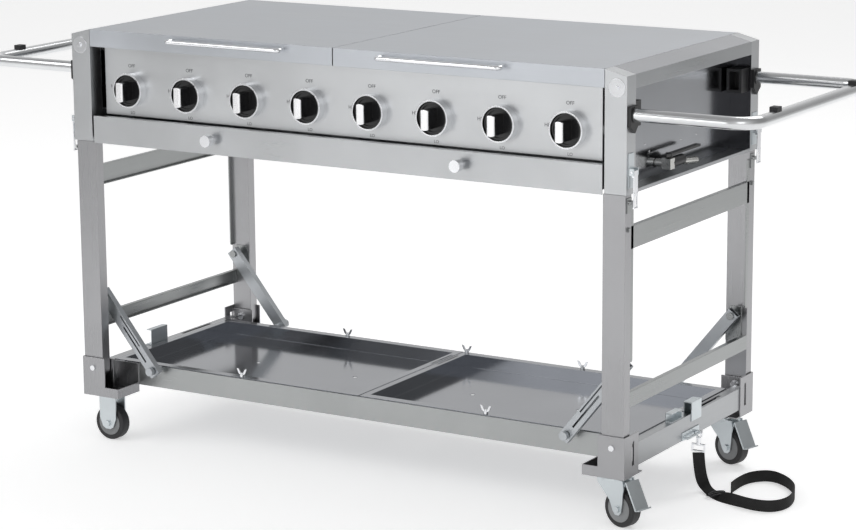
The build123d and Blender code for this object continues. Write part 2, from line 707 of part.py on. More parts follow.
def latch_base():
    """Fixed plate and ears of a draw latch, on a post's outer face."""
    y = (depth(6), depth(28))
    shape = block((HALF_W, HALF_W + 2), y, (690, 758))
    for y0 in (depth(6), depth(25.5)):
        shape += block((HALF_W, HALF_W + 12), (y0, y0 + 2.5), (LATCH_PIVOT_Z - 7, LATCH_PIVOT_Z + 7))
    shape -= rod(
        (LATCH_PIVOT_X, depth(0), LATCH_PIVOT_Z),
        (LATCH_PIVOT_X, depth(34), LATCH_PIVOT_Z),
        2.5 + RUNNING,
    )
    return shape


def latch_lever():
    """Lever with its pin and the wire bail that reaches down to the keeper."""
    y = (depth(9), depth(25))
    x = LATCH_PIVOT_X
    pin = rod((x, depth(5), LATCH_PIVOT_Z), (x, depth(29), LATCH_PIVOT_Z), 2.5)
    plate = block((x + 2, x + 4), y, (LATCH_PIVOT_Z - 48, LATCH_PIVOT_Z + 3))
    plate += block((x - 2, x + 4), (y[0], y[0] + 2), (LATCH_PIVOT_Z - 10, LATCH_PIVOT_Z + 3))
    plate += block((x - 2, x + 4), (y[1] - 2, y[1]), (LATCH_PIVOT_Z - 10, LATCH_PIVOT_Z + 3))
    bail_x = x + 3
    bail = rod((bail_x, y[0] + 2, LATCH_PIVOT_Z - 40), (bail_x, y[0] + 2, 652), 2.0)
    bail += rod((bail_x, y[1] - 2, LATCH_PIVOT_Z - 40), (bail_x, y[1] - 2, 652), 2.0)
    bail += rod((bail_x, y[0], 652), (bail_x, y[1], 652), 2.0)
    return pin + plate + bail


# ---------------------------------------------------------------- head: moving pieces


def cover(side):
    """Lift-off cover with front and rear flanges, and its bow handle near the front edge."""
    x = (1.2, INNER_W - 1)
    y = (depth(0), -depth(0))
    flange_z = (TOP - COVER_FLANGE, TOP)
    shape = block(x, y, (TOP - SHEET, TOP))
    shape += block(x, (y[0], y[0] + SHEET), flange_z)
    shape += block(x, (y[1] - SHEET, y[1]), flange_z)
    handle_x = (115.0, 405.0)
    reach = 25.0
    z = TOP - 11
    path = FilletPolyline(
        (handle_x[0] + 6, y[0] + 1, z),
        (handle_x[0], y[0] - reach, z),
        (handle_x[1], y[0] - reach, z),
        (handle_x[1] - 6, y[0] + 1, z),
        radius=9.0,
    )
    bar = sweep(Plane(path @ 0, z_dir=path % 0) * Circle(4.5), path=path)
    bar -= block((handle_x[0] - 9, handle_x[1] + 9), (y[0], y[0] + 9), (z - 9, z + 9))
    return [to_corner(shape, side), to_corner(bar, side)]


def drip_drawer():
    """Full-width grease drawer: folded front and a shallow pan behind it."""
    x_end = INNER_W - 4.5
    z = (HEAD_BOTTOM - 2.5, DRAWER_TOP)
    front = block((-x_end, x_end), (depth(0), depth(1.5)), z)
    front += block((-x_end, x_end), (depth(0), depth(14)), (z[1] - 1.5, z[1]))
    pan_x = x_end - 30
    pan_y = (depth(1.5), -depth(60))
    pan_z = (HEAD_BOTTOM + 4, HEAD_BOTTOM + 40)
    pan = block((-pan_x, pan_x), pan_y, pan_z)
    pan -= block(
        (-pan_x + 1.5, pan_x - 1.5),
        (pan_y[0] + 1.5, pan_y[1] - 1.5),
        (pan_z[0] + 1.5, pan_z[1] + 1),
    )
    ledge = block((-pan_x - 18, pan_x + 18), pan_y, (HEAD_BOTTOM + 2.5, HEAD_BOTTOM + 4))
    return front + pan + ledge


PULL_X = 303.0
PULL_Z = 707.0


def drawer_pull(x):
    """Round pull: a neck and a short cylindrical head."""
    neck = rod((x, depth(0), PULL_Z), (x, depth(-14), PULL_Z), 6.0)
    head = rod((x, depth(-14), PULL_Z), (x, depth(-PULL_PROUD), PULL_Z), 12.5)
    return neck + head


def side_handle():
    """Right tube handle: two arms, an outer bar, and two rubber rests on top of it."""
    x_in = HALF_W - 28
    x_out = HALF_W + HANDLE_REACH
    y = depth(HANDLE_ARM_INSET)
    z = HANDLE_HEIGHT
    path = FilletPolyline((x_in, y, z), (x_out, y, z), (x_out, -y, z), (x_in, -y, z), radius=48.0)
    section = Plane(path @ 0, z_dir=path % 0) * Circle(HANDLE_TUBE_R)
    bore = Plane(path @ 0, z_dir=path % 0) * Circle(HANDLE_TUBE_R - 1.6)
    tube = sweep(section, path=path) - sweep(bore, path=path)
    solids = [tube]
    for y_rest in (-172.0, 210.0):
        rest = block((x_out - 9, x_out + 8), (y_rest - 10, y_rest + 10), (z + 5, z + 20))
        rest -= rod((x_out, y_rest - 11, z), (x_out, y_rest + 11, z), HANDLE_TUBE_R)
        solids.append(rest)
    return solids


# ---------------------------------------------------------------- pull strap

STRAP_WIDTH = 25.0
STRAP_R = STRAP_WIDTH / 2
STRAP_TOP = 88.0
LIE = STRAP_R + 0.3  # height of the middle of the strap on the floor
# Way of the strap's middle: down from its buckle, out along the floor, round a hand loop.
STRAP_ROUTE = [
    (STRAP_X, STRAP_Y, STRAP_TOP - 4),
    (STRAP_X - 2, STRAP_Y + 12, 47.0),
    (STRAP_X + 5, STRAP_Y + 20, 18.0),
    (STRAP_X + 31, STRAP_Y - 4, LIE),
    (STRAP_X + 67, STRAP_Y - 28, LIE),
    (STRAP_X + 109, STRAP_Y - 48, LIE),
    (STRAP_X + 152, STRAP_Y - 60, LIE),
    (STRAP_X + 192, STRAP_Y - 52, LIE),
    (STRAP_X + 208, STRAP_Y - 13, LIE),
    (STRAP_X + 200, STRAP_Y + 37, LIE),
    (STRAP_X + 180, STRAP_Y + 85, LIE),
    (STRAP_X + 144, STRAP_Y + 127, LIE),
    (STRAP_X + 97, STRAP_Y + 152, LIE),
    (STRAP_X + 65, STRAP_Y + 122, LIE),
    (STRAP_X + 57, STRAP_Y + 73, LIE),
    (STRAP_X + 62, STRAP_Y + 27, LIE),
]


def corner_radii(route):
    """The largest arc that fits each corner of a route: 0.45 of the shorter run."""
    radii = []
    for a, b, c in zip(route, route[1:], route[2:]):
        before = Vector(*b) - Vector(*a)
        after = Vector(*c) - Vector(*b)
        half_turn = math.radians(before.get_angle(after) / 2)
        radii.append(0.45 * min(before.length, after.length) / math.tan(half_turn))
    return radii


def pull_strap():
    """The strap's plain envelope: a tube as thick as the webbing is wide."""
    radii = corner_radii(STRAP_ROUTE)
    path = FilletPolyline(*STRAP_ROUTE, radius=radii)
    tube = sweep(Plane(path @ 0, z_dir=path % 0) * Circle(STRAP_WIDTH / 2), path=path)
    print("strap length", round(path.length, 1), "radii", [round(r) for r in radii])
    print("strap volume share", round(tube.volume / (path.length * math.pi * STRAP_WIDTH**2 / 4), 4))
    return tube


def snap_hook():
    """Spring snap that hangs from the staple, with a flat eye for the webbing."""
    x = STRAP_X
    y = STRAP_Y
    z = STAPLE_Z - 2.2
    ring = rod((x, y - 2.5, z), (x, y + 2.5, z), 8.0)
    ring -= rod((x, y - 3, z), (x, y + 3, z), 5.0)
    body = rod((x, y, z - 7), (x, y, STRAP_TOP + 14), 5.0)
    eye = block((x - 15, x + 15), (y - 2.5, y + 2.5), (STRAP_TOP + 0.3, STRAP_TOP + 17))
    eye -= block((x - 12.5, x + 12.5), (y - 3, y + 3), (STRAP_TOP + 3, STRAP_TOP + 14))
    return ring + body + eye


def strap_slider():
    """Webbing adjuster: a band over the strap, just past where it reaches the floor."""
    before = Vector(*STRAP_ROUTE[3])
    after = Vector(*STRAP_ROUTE[4])
    middle = (before + after) / 2
    along = (after - before).normalized()
    band_plane = Plane(origin=middle - along * 9, z_dir=along)
    band = Solid.make_cylinder(STRAP_R + 2.5, 18, band_plane)
    band -= Solid.make_cylinder(STRAP_R + 0.2, 18, band_plane)
    return band & (Pos(middle.X, middle.Y, 20.5) * Box(80, 80, 40))


def main():
    os.makedirs("parts", exist_ok=True)

    save("base_side_rails", *[to_corner(side_rail(), side) for side in SIDES])
    save("base_cross_rails", *[to_corner(cross_rail(), "right", end) for end in ENDS])
    save("corner_brackets", *[to_corner(corner_bracket(c[0]), *c) for c in corners()])
    save("leg_pivot_bolts", *[to_corner(pivot_bolt(), *c) for c in corners()])
    for side in SIDES:
        save(f"shelf_tray_{side}", shelf_tray(side))
    nut_y = depth(RAIL_SETBACK + 11)
    nut_places = [(-305, nut_y), (305, nut_y), (-305, -nut_y), (305, -nut_y), (12, -nut_y)]
    save("shelf_wing_nuts", *[wing_nut(x, y) for x, y in nut_places])
    left_stop = to_corner(rest_hook((-75, -15), 36), "left")
    right_stop = rest_hook((-80, -34), 19)
    save("rail_fittings", left_stop, right_stop, rail_box(), strap_staple())

    save("caster_plates", *[place_caster(caster_plate(), "right", end) for end in ENDS])
    for side, end in corners():
        swivels = side == "right"
        fork = swivel_fork() + brake_mount() if swivels else rigid_fork()
        save(f"caster_fork_{end}_{side}", place_caster(fork, side, end))
        pieces = caster_wheel(CASTER_TRAIL if swivels else 0.0)
        save(f"caster_wheel_{end}_{side}", *[place_caster(p, side, end) for p in pieces])
        if swivels:
            save(f"brake_pedal_{end}", place_caster(brake_pedal(), side, end))

    for side in SIDES:
        legs = [to_corner(leg(), side, end) for end in ENDS]
        save(f"legs_{side}", *legs)
        fittings = [
            to_corner(piece, side, end)
            for end in ENDS
            for piece in (keeper(), stiffener(), gusset())
        ]
        save(f"leg_ties_{side}", *[to_corner(r, side) for r in leg_cross_rails()], *fittings)
        for end in ENDS:
            save(f"brace_{end}_{side}", *[to_corner(piece, side, end) for piece in brace()])

    save("head_corner_posts", *[to_corner(corner_post(), *c) for c in corners()])
    shells = [to_corner(side_shell(), side) for side in SIDES]
    runners = [to_corner(drawer_runner(), side) for side in SIDES]
    save("head_side_shells", *shells, *runners)
    save("head_rear_panel", rear_panel())
    save("head_heat_shield", heat_shield())
    save("control_panel", control_panel())
    save("knob_bezels", *[knob_bezel(x) for x in knob_places()])
    save("griddle_plates", griddle_plate("left"), griddle_plate("right"))
    save("burners", *[burner(x) for x in knob_places()])
    save("gas_train", *gas_train())
    save("gas_cock_lever", gas_cock_lever())
    save("handle_sockets", *[to_corner(piece, *c) for c in corners() for piece in handle_socket()])
    save("post_bosses", *[to_corner(post_boss(), side) for side in SIDES])
    save("latch_bases", *[to_corner(latch_base(), *c) for c in corners()])
    for side, end in corners():
        save(f"latch_lever_{end}_{side}", to_corner(latch_lever(), side, end))

    for side in SIDES:
        save(f"cover_{side}", *cover(side))
        save(f"side_handle_{side}", *[to_corner(piece, side) for piece in side_handle()])
    save("drip_drawer", drip_drawer(), drawer_pull(-PULL_X), drawer_pull(PULL_X))
    for i, x in enumerate(knob_places()):
        save(f"knob_{i + 1}", knob(x))

    save("pull_strap", pull_strap())
    save("strap_snap_hook", snap_hook())
    save("strap_slider", strap_slider())


main()
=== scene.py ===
"""Looks for the mobile flat top griddle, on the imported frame. Metres, +Z up, controls on -Y."""

import math

import bmesh
import bpy
from mathutils import Matrix, Vector


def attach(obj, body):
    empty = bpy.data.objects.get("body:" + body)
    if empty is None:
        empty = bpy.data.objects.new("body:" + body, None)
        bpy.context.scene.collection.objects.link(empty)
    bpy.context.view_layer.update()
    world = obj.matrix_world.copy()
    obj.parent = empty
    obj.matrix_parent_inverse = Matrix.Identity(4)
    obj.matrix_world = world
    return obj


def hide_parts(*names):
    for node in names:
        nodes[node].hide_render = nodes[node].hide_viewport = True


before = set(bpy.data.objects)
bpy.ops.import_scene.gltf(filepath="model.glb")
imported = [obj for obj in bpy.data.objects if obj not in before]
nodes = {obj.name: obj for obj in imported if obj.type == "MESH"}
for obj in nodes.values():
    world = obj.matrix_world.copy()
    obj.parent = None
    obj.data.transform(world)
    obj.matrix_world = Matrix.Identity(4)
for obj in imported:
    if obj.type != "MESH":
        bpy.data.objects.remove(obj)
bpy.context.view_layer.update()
scene = bpy.context.scene

SHIFT_Y = 0.01325  # the middle of the head is this far behind the frame's origin
CORNERS = [(side, end) for side in ("left", "right") for end in ("front", "rear")]


def sign(word):
    return -1 if word in ("left", "front") else 1


# ---------------------------------------------------------------- camera

camera_data = bpy.data.cameras.new("camera")
camera = bpy.data.objects.new("camera", camera_data)
scene.collection.objects.link(camera)
scene.camera = camera
camera_data.sensor_width = 36.0
camera_data.lens = 115.31
camera_data.clip_end = 60.0
camera_data.dof.use_dof = False
camera.location = (3.033, -4.9004, 1.6714)
look = Matrix.Rotation(math.radians(31.3434), 3, "Z")
look = look @ Matrix.Rotation(math.radians(90 - 12.2986), 3, "X")
look = look @ Matrix.Rotation(math.radians(-0.4327), 3, "Z")
camera.rotation_euler = look.to_euler()

# ---------------------------------------------------------------- materials


def node_tree(name):
    material = bpy.data.materials.new(name)
    material.use_nodes = True
    tree = material.node_tree
    shader = tree.nodes["Principled BSDF"]
    return material, tree, shader


def stretched(tree, scale):
    """Object coordinates stretched by a scale along each axis."""
    coord = tree.nodes.new("ShaderNodeTexCoord")
    mapping = tree.nodes.new("ShaderNodeMapping")
    mapping.inputs["Scale"].default_value = scale
    tree.links.new(coord.outputs["Object"], mapping.inputs["Vector"])
    return mapping.outputs["Vector"]


def noise(tree, vector, scale, detail=3.0):
    n = tree.nodes.new("ShaderNodeTexNoise")
    n.inputs["Scale"].default_value = scale
    n.inputs["Detail"].default_value = detail
    tree.links.new(vector, n.inputs["Vector"])
    return n.outputs["Fac"]


def remap(tree, value, low, high):
    m = tree.nodes.new("ShaderNodeMapRange")
    m.inputs["From Min"].default_value = 0.3
    m.inputs["From Max"].default_value = 0.7
    m.inputs["To Min"].default_value = low
    m.inputs["To Max"].default_value = high
    tree.links.new(value, m.inputs["Value"])
    return m.outputs["Result"]


def blend_colours(tree, factor, a, b):
    m = tree.nodes.new("ShaderNodeMix")
    m.data_type = "RGBA"
    m.inputs[6].default_value = (*a, 1.0)
    m.inputs[7].default_value = (*b, 1.0)
    tree.links.new(factor, m.inputs[0])
    return m.outputs[2]


def bump(tree, height, distance, strength, edge=0.0):
    """Bump over softened edges."""
    b = tree.nodes.new("ShaderNodeBump")
    b.inputs["Distance"].default_value = distance
    b.inputs["Strength"].default_value = strength
    tree.links.new(height, b.inputs["Height"])
    if edge:
        soft = tree.nodes.new("ShaderNodeBevel")
        soft.samples = 4
        soft.inputs["Radius"].default_value = edge
        tree.links.new(soft.outputs["Normal"], b.inputs["Normal"])
    return b.outputs["Normal"]


def metal(name, colour, rough, grain, strength=0.25, wear=0.06, edge=0.0012):
    """Brushed metal: fine grain along one axis, cloudy handling marks, softened edges."""
    material, tree, shader = node_tree(name)
    fine = noise(tree, stretched(tree, grain), 1.0, 2.0)
    cloud = noise(tree, stretched(tree, (1, 1, 1)), 5.0, 4.0)
    dark = tuple(c * (1 - wear) for c in colour)
    light = tuple(min(1.0, c * (1 + wear)) for c in colour)
    tint = blend_colours(tree, remap(tree, cloud, 0.0, 1.0), dark, light)
    tree.links.new(tint, shader.inputs["Base Color"])
    mixed = tree.nodes.new("ShaderNodeMath")
    mixed.operation = "ADD"
    tree.links.new(remap(tree, fine, rough * 0.4, rough * 0.6), mixed.inputs[0])
    tree.links.new(remap(tree, cloud, rough * 0.4, rough * 0.6), mixed.inputs[1])
    tree.links.new(mixed.outputs[0], shader.inputs["Roughness"])
    tree.links.new(bump(tree, fine, 0.0001, strength, edge), shader.inputs["Normal"])
    shader.inputs["Metallic"].default_value = 1.0
    return material


def plain(name, colour, rough, scale=300.0, depth=0.0002, strength=0.3, metallic=0.0, spread=0.25):
    """Moulded or cast surface: fine grain and uneven tone."""
    material, tree, shader = node_tree(name)
    fine = noise(tree, stretched(tree, (1, 1, 1)), scale, 3.0)
    cloud = noise(tree, stretched(tree, (1, 1, 1)), 12.0, 4.0)
    dark = tuple(c * (1 - spread) for c in colour)
    light = tuple(min(1.0, c * (1 + spread)) for c in colour)
    tint = blend_colours(tree, remap(tree, cloud, 0.0, 1.0), dark, light)
    tree.links.new(tint, shader.inputs["Base Color"])
    tree.links.new(remap(tree, cloud, rough * 0.85, rough * 1.15), shader.inputs["Roughness"])
    tree.links.new(bump(tree, fine, depth, strength, 0.0008), shader.inputs["Normal"])
    shader.inputs["Metallic"].default_value = metallic
    return material


ALONG_X = (6.0, 500.0, 500.0)
ALONG_Y = (500.0, 6.0, 500.0)
ALONG_Z = (500.0, 500.0, 6.0)

# One stainless steel, given a different base colour for each part, 0.27 to 0.54: partly painted
# light and shade, lit and shaded copies of one steel standing in for how each part catches the
# light.
STEEL_X = metal("steel_grain_x", (0.48, 0.49, 0.50), 0.32, ALONG_X)
STEEL_Y = metal("steel_grain_y", (0.40, 0.41, 0.42), 0.32, ALONG_Y)
STEEL_Z = metal("steel_grain_z", (0.48, 0.49, 0.50), 0.32, ALONG_Z)
PANEL_STEEL = metal("panel_steel", (0.52, 0.53, 0.54), 0.34, ALONG_X)
LEG_STEEL = metal("leg_steel", (0.36, 0.36, 0.37), 0.30, ALONG_Z)
TIE_STEEL = metal("tie_steel", (0.33, 0.34, 0.34), 0.30, ALONG_Y)
RAIL_STEEL = metal("rail_steel", (0.38, 0.39, 0.39), 0.32, ALONG_X)
COVER_STEEL = metal("cover_steel", (0.48, 0.50, 0.53), 0.38, ALONG_X)
# Smoother steel for the side webs and shoulder slopes, its darker colour painted shade.
SHADED_WEB_STEEL = metal("web_steel_painted_shade", (0.36, 0.37, 0.39), 0.16, ALONG_Y, 0.12)
# Near-black steel: painted shade and painted reflection on the rear posts' forward faces.
PAINTED_SHADE_STEEL = metal("painted_shade_steel", (0.07, 0.07, 0.075), 0.20, ALONG_Z, 0.12)
TRAY_STEEL = metal("tray_steel", (0.27, 0.28, 0.30), 0.12, ALONG_X, 0.06)
ZINC = metal("zinc", (0.60, 0.64, 0.66), 0.36, (60.0, 60.0, 60.0), 0.15, 0.10)
BRACE_ZINC = metal("brace_zinc", (0.46, 0.48, 0.50), 0.36, (60.0, 60.0, 60.0), 0.15, 0.10)
CHROME = metal("chrome", (0.80, 0.81, 0.83), 0.12, (40.0, 40.0, 40.0), 0.04, 0.03)
TUBE_STEEL = metal("tube_steel", (0.68, 0.69, 0.70), 0.20, ALONG_Y, 0.10)
FITTING = metal("gas_fitting_metal", (0.60, 0.60, 0.58), 0.26, (60.0, 60.0, 60.0), 0.15, 0.10)
KNOB_BLACK = plain("knob_black", (0.010, 0.010, 0.011), 0.20)
KNOB_FACE = metal("knob_face", (0.90, 0.90, 0.91), 0.26, ALONG_Z, 0.10, 0.03)
BLACK = plain("black_moulding", (0.012, 0.012, 0.013), 0.42)
RUBBER = plain("rubber", (0.014, 0.014, 0.015), 0.55, 400.0, 0.0004, 0.5)
HUB_GREY = plain("hub_grey", (0.20, 0.205, 0.21), 0.45)
PLATE_STEEL = plain("plate_steel", (0.13, 0.125, 0.12), 0.42, 90.0, 0.0003, 0.4, 1.0)
INK = plain("dial_ink", (0.05, 0.05, 0.055), 0.5)


def webbing_material():
    """Woven black webbing: ribs across and along the strap."""
    material, tree, shader = node_tree("webbing")
    coord = tree.nodes.new("ShaderNodeTexCoord")
    wave = tree.nodes.new("ShaderNodeTexWave")
    wave.wave_type = "BANDS"
    wave.bands_direction = "DIAGONAL"
    wave.inputs["Scale"].default_value = 120.0
    wave.inputs["Distortion"].default_value = 1.5
    tree.links.new(coord.outputs["UV"], wave.inputs["Vector"])
    cloud = noise(tree, stretched(tree, (1, 1, 1)), 30.0, 4.0)
    dark = (0.003, 0.003, 0.003)
    light = (0.006, 0.006, 0.006)
    tint = blend_colours(tree, remap(tree, cloud, 0, 1), dark, light)
    tree.links.new(tint, shader.inputs["Base Color"])
    tree.links.new(remap(tree, cloud, 0.70, 0.88), shader.inputs["Roughness"])
    normal = bump(tree, wave.outputs["Fac"], 0.0006, 0.6)
    tree.links.new(normal, shader.inputs["Normal"])
    return material


WEBBING = webbing_material()

# ---------------------------------------------------------------- mesh helpers


def add_object(name, mesh, material, body):
    obj = bpy.data.objects.new(name, mesh)
    scene.collection.objects.link(obj)
    if material is not None:
        mesh.materials.clear()
        mesh.materials.append(material)
    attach(obj, body)
    return obj


def soften(obj, angle=35.0):
    """Smooth shading with the real edges kept sharp."""
    mesh = obj.data
    mesh.polygons.foreach_set("use_smooth", [True] * len(mesh.polygons))
    mesh.set_sharp_from_angle(angle=math.radians(angle))
    return obj


def from_bmesh(name, bm, material, body):
    mesh = bpy.data.meshes.new(name)
    bmesh.ops.recalc_face_normals(bm, faces=bm.faces)
    bm.to_mesh(mesh)
    bm.free()
    return soften(add_object(name, mesh, material, body))


def islands(node):
    """The separate solids of a CAD node, as lists of face indices with their boxes."""
    source = nodes[node].data
    bm = bmesh.new()
    bm.from_mesh(source)
    bmesh.ops.remove_doubles(bm, verts=bm.verts, dist=1e-6)
    bm.faces.ensure_lookup_table()
    left = set(bm.faces)
    found = []
    while left:
        stack = [left.pop()]
        group = []
        while stack:
            face = stack.pop()
            group.append(face)
            for edge in face.edges:
                for other in edge.link_faces:
                    if other in left:
                        left.remove(other)
                        stack.append(other)
        points = [v.co for f in group for v in f.verts]
        lo = Vector([min(p[i] for p in points) for i in range(3)])
        hi = Vector([max(p[i] for p in points) for i in range(3)])
        found.append((lo, hi, [[tuple(v.co) for v in f.verts] for f in group]))
    bm.free()
    return found


def rebuild(name, groups, material, body):
    """One mesh from some of a CAD node's solids."""
    bm = bmesh.new()
    for _, _, faces in groups:
        seen = {}
        for corners in faces:
            ring = []
            for corner in corners:
                key = tuple(round(c, 7) for c in corner)
                if key not in seen:
                    seen[key] = bm.verts.new(corner)
                ring.append(seen[key])
            if len(set(ring)) > 2:
                try:
                    bm.faces.new(ring)
                except ValueError:
                    pass
    return from_bmesh(name, bm, material, body)


def smallest_first(node):
    """A CAD node's solids, sorted by the diagonal of their boxes."""
    return sorted(islands(node), key=lambda solid: (solid[1] - solid[0]).length)


def second_material(obj, material, chosen):
    """Give a second material to the faces that a test picks."""
    obj.data.materials.append(material)
    for face in obj.data.polygons:
        if chosen(face):
            face.material_index = 1


def add_rod(bm, a, b, radius, segments=20, radius_end=None):
    a, b = Vector(a), Vector(b)
    axis = b - a
    made = bmesh.ops.create_cone(
        bm,
        cap_ends=True,
        segments=segments,
        radius1=radius,
        radius2=radius if radius_end is None else radius_end,
        depth=axis.length,
    )["verts"]
    matrix = Matrix.Translation((a + b) / 2) @ axis.to_track_quat("Z", "Y").to_matrix().to_4x4()
    bmesh.ops.transform(bm, matrix=matrix, verts=made)
    return made


def add_dome(bm, centre, axis, radius, height, segments=16):
    """A rivet or screw head: a low dome on a face."""
    centre, axis = Vector(centre), Vector(axis).normalized()
    side = axis.orthogonal().normalized()
    up = axis.cross(side)
    rings = []
    for step in range(4):
        turn = math.pi / 2 * step / 4
        ring = []
        for i in range(segments):
            a = 2 * math.pi * i / segments
            flat = side * math.cos(a) + up * math.sin(a)
            out = flat * radius * math.cos(turn)
            ring.append(bm.verts.new(centre + out + axis * height * math.sin(turn)))
        rings.append(ring)
    top = bm.verts.new(centre + axis * height)
    for low, high in zip(rings, rings[1:]):
        for i in range(segments):
            j = (i + 1) % segments
            bm.faces.new((low[i], low[j], high[j], high[i]))
    for i in range(segments):
        bm.faces.new((rings[-1][i], rings[-1][(i + 1) % segments], top))
    bm.faces.new(list(reversed(rings[0])))


# ---------------------------------------------------------------- pull strap (soft webbing)

HOOK = Vector((0.678, 0.019 + SHIFT_Y, 0.0))


def strap_points():
    """Middle of the webbing and the direction of its width, from the buckle to the loop's end."""
    flat = 0.0045
    edge = 0.0128
    face_on = (0.93, 0.37, 0.0)
    lying = (0.54, 0.84, 0.1)
    upright = (0.0, 0.0, 1.0)
    steps = [
        (0, 0, 0.086, face_on),
        (-2, 10, 0.047, face_on),
        (3, 19, 0.013, (0.8, 0.6, 0.0)),
        (30, -2, flat, lying),
        (64, -26, 0.008, (0.4, 0.6, 0.6)),
        (109, -47, edge, upright),
        (152, -59, edge, upright),
        (191, -51, edge, upright),
        (207, -13, edge, upright),
        (199, 37, edge, upright),
        (179, 85, edge, upright),
        (143, 126, edge, upright),
        (98, 150, edge, upright),
        (66, 121, edge, upright),
        (58, 73, edge, upright),
        (63, 27, edge, upright),
    ]
    return [
        (HOOK + Vector((x / 1000, y / 1000, z)), Vector(width).normalized())
        for x, y, z, width in steps
    ]


def smooth_line(values, per_span=10):
    """Quadratic B-spline through the control values, pinned at both ends."""
    line = []
    last = len(values) - 2
    for i in range(1, last + 1):
        a = values[0] if i == 1 else (values[i - 1] + values[i]) / 2
        b = values[i]
        c = values[-1] if i == last else (values[i] + values[i + 1]) / 2
        for k in range(per_span):
            t = k / per_span
            line.append(a * (1 - t) ** 2 + b * (2 * t * (1 - t)) + c * t * t)
    line.append(values[-1].copy())
    return line


def webbing_ribbon(name, middles, widths, width, thick):
    """A flat band with rounded selvedges, and UVs in metres along and across."""
    bm = bmesh.new()
    uv = bm.loops.layers.uv.new("along")
    profile = [(-0.5, 0.0), (-0.47, 0.5), (0.47, 0.5), (0.5, 0.0), (0.47, -0.5), (-0.47, -0.5)]
    rings = []
    run = 0.0
    for i, middle in enumerate(middles):
        before = middles[max(i - 1, 0)]
        after = middles[min(i + 1, len(middles) - 1)]
        ahead = (after - before).normalized()
        across = (widths[i] - ahead * widths[i].dot(ahead)).normalized()
        out = ahead.cross(across)
        if i:
            run += (middle - before).length
        ring = [bm.verts.new(middle + across * u * width + out * v * thick) for u, v in profile]
        rings.append((run, ring))
    count = len(profile)
    for (run_a, a), (run_b, b) in zip(rings, rings[1:]):
        for i in range(count):
            j = (i + 1) % count
            face = bm.faces.new((a[i], a[j], b[j], b[i]))
            places = ((run_a, i), (run_a, j), (run_b, j), (run_b, i))
            for loop, (along, k) in zip(face.loops, places):
                loop[uv].uv = (along, profile[k][0] * width)
    bm.faces.new(list(reversed(rings[0][1])))
    bm.faces.new(rings[-1][1])
    return from_bmesh(name, bm, WEBBING, "base"), run


control = strap_points()
strap_middle = smooth_line([p for p, _ in control])
strap_width = [w.normalized() for w in smooth_line([w for _, w in control])]
strap, strap_length = webbing_ribbon("pull_webbing", strap_middle, strap_width, 0.025, 0.0024)
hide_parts("pull_strap")

# ---------------------------------------------------------------- CAD pieces kept, and finishes

FINISHES = {
    "base_side_rails": STEEL_Y,
    "base_cross_rails": RAIL_STEEL,
    "corner_brackets": LEG_STEEL,
    "leg_pivot_bolts": CHROME,
    "shelf_tray_left": TRAY_STEEL,
    "shelf_tray_right": TRAY_STEEL,
    "shelf_wing_nuts": CHROME,
    "rail_fittings": ZINC,
    "caster_plates": ZINC,
    "strap_snap_hook": CHROME,
    "head_rear_panel": STEEL_X,
    "head_heat_shield": STEEL_X,
    "control_panel": PANEL_STEEL,
    "griddle_plates": PLATE_STEEL,
    "burners": STEEL_Y,
    "gas_cock_lever": BLACK,
    "handle_sockets": BLACK,
    "post_bosses": CHROME,
    "latch_bases": ZINC,
}
for side in ("left", "right"):
    FINISHES[f"legs_{side}"] = LEG_STEEL
    FINISHES[f"leg_ties_{side}"] = TIE_STEEL
    for end in ("front", "rear"):
        FINISHES[f"brace_{end}_{side}"] = BRACE_ZINC
        FINISHES[f"latch_lever_{end}_{side}"] = CHROME
        FINISHES[f"caster_fork_{end}_{side}"] = ZINC
for end in ("front", "rear"):
    FINISHES[f"brake_pedal_{end}"] = ZINC
for name, material in FINISHES.items():
    mesh = nodes[name].data
    mesh.materials.clear()
    mesh.materials.append(material)

# ---------------------------------------------------------------- pieces split by material

for side, end in CORNERS:
    name = f"caster_wheel_{end}_{side}"
    solids = smallest_first(name)
    rebuild(f"hub_{end}_{side}", solids[:-1], HUB_GREY, name)
    tyre = rebuild(f"tyre_{end}_{side}", solids[-1:], RUBBER, name)
    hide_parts(name)

for side in ("left", "right"):
    name = f"side_handle_{side}"
    solids = smallest_first(name)
    tube = rebuild(f"handle_tube_{side}", solids[-1:], TUBE_STEEL, name)
    rebuild(f"handle_rests_{side}", solids[:-1], RUBBER, name)
    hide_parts(name)

solids = smallest_first("drip_drawer")
drawer = rebuild("drawer", solids[-1:], STEEL_X, "drip_drawer")
rebuild("drawer_pulls", solids[:-1], CHROME, "drip_drawer")
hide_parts("drip_drawer")

KNOB_COUNT = 8
KNOB_PITCH = 0.152
KNOB_Z = 0.792
KNOB_X = [KNOB_PITCH * (i - (KNOB_COUNT - 1) / 2) for i in range(KNOB_COUNT)]
GRIP_FACE = 0.004  # depth of the bright face at the front of a grip
BEZEL_INNER = 0.0342

for i in range(KNOB_COUNT):
    name = f"knob_{i + 1}"
    knob = rebuild(f"knob_body_{i + 1}", islands(name), KNOB_BLACK, name)
    front = min(v.co.y for v in knob.data.vertices)
    second_material(knob, KNOB_FACE, lambda face: face.center.y < front + GRIP_FACE)
    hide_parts(name)


def inside_bezel(face):
    nearest = min(KNOB_X, key=lambda x: abs(x - face.center.x))
    return math.hypot(face.center.x - nearest, face.center.z - KNOB_Z) < BEZEL_INNER


# Bezels: chromed outside and rim, dark inside.
bezels = rebuild("bezel_rings", islands("knob_bezels"), CHROME, "head")
second_material(bezels, BLACK, inside_bezel)
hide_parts("knob_bezels")


def web_or_slope(face):
    is_web = abs(face.normal.x) > 0.9 and 0.6 < abs(face.center.x) < 0.63
    is_slope = 0.05 < abs(face.normal.x) < 0.9 and face.normal.z > 0.3
    return is_web or is_slope


